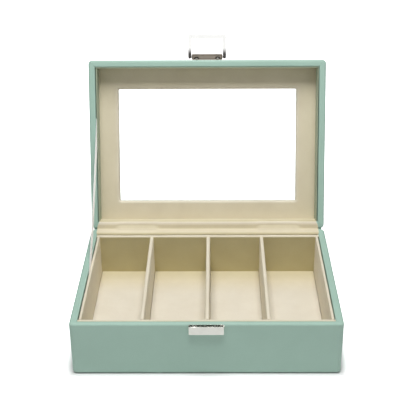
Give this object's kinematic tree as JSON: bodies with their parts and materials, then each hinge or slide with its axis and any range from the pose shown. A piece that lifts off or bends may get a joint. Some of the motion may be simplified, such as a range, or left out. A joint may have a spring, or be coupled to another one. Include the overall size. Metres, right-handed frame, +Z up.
{
  "type": "eyeglasses organizer",
  "caption": "Leatherette box with long velvet-lined compartments for eyeglasses, a hinged lid with a clear window, a stay ribbon and a metal loop hasp.",
  "frame": {"origin": "middle of the flat underside, on the surface that the box stands on", "axes": "+Z up, +X to the right as seen from the front, and the front with its catch faces -Y"},
  "size_m": [0.28, 0.3002, 0.2767],
  "materials": {
    "leatherette": "embossed mint-green leatherette, satin",
    "board": "plain fibreboard, hidden under the leatherette",
    "lining_cloth": "short-pile beige lining cloth",
    "velvet": "short-pile beige velvet",
    "felt": "dark felt",
    "satin_ribbon": "white satin",
    "clear_glass": "clear float glass, polished",
    "chrome": "polished chrome plate",
    "steel": "nickel-plated steel"
  },
  "bodies": {
    "base": {"base_cover": "leatherette", "base_front_board": "board", "base_rear_board": "board", "base_left_board": "board", "base_right_board": "board", "base_bottom_board": "board", "base_hinge_lining": "lining_cloth", "tray_floor": "velvet", "tray_front_wall": "velvet", "tray_rear_wall": "velvet", "tray_left_wall": "velvet", "tray_right_wall": "velvet", "divider_1": "velvet", "divider_2": "velvet", "divider_3": "velvet", "compartment_floor_1": "velvet", "compartment_floor_2": "velvet", "compartment_floor_3": "velvet", "compartment_floor_4": "velvet", "base_felt": "felt", "stay_ribbon": "satin_ribbon", "catch_plate": "chrome", "left_hinge_base_leaf": "steel", "left_hinge_pin": "steel", "right_hinge_base_leaf": "steel", "right_hinge_pin": "steel", "base_hinge_screw_1": "steel", "base_hinge_screw_2": "steel", "base_hinge_screw_3": "steel", "base_hinge_screw_4": "steel", "catch_screw_1": "steel", "catch_screw_2": "steel"},
    "lid": {"lid_cover": "leatherette", "lid_front_board": "board", "lid_rear_board": "board", "lid_left_board": "board", "lid_right_board": "board", "lid_top_board": "board", "lid_panel": "velvet", "glass_pane": "clear_glass", "lid_hinge_lining": "lining_cloth", "lid_front_lining": "lining_cloth", "lid_left_lining": "lining_cloth", "lid_right_lining": "lining_cloth", "hasp_bracket": "chrome", "left_hinge_lid_leaf": "steel", "right_hinge_lid_leaf": "steel", "lid_hinge_screw_1": "steel", "lid_hinge_screw_2": "steel", "lid_hinge_screw_3": "steel", "lid_hinge_screw_4": "steel", "bracket_screw_1": "steel", "bracket_screw_2": "steel"},
    "hasp": {"hasp_loop": "chrome"}
  },
  "joints": [
    {"name": "lid_hinge", "type": "hinge", "parent": "base", "child": "lid", "pos_m": [0, 0.1002, 0.0628], "axis": [1, 0, 0], "range_deg": [0, 109.3], "deforming": ["stay_ribbon"]},
    {"name": "hasp_swing", "type": "hinge", "parent": "lid", "child": "hasp", "pos_m": [0, 0.17712, 0.2519], "axis": [1, 0, 0], "range_deg": [-80, 90]}
  ]
}
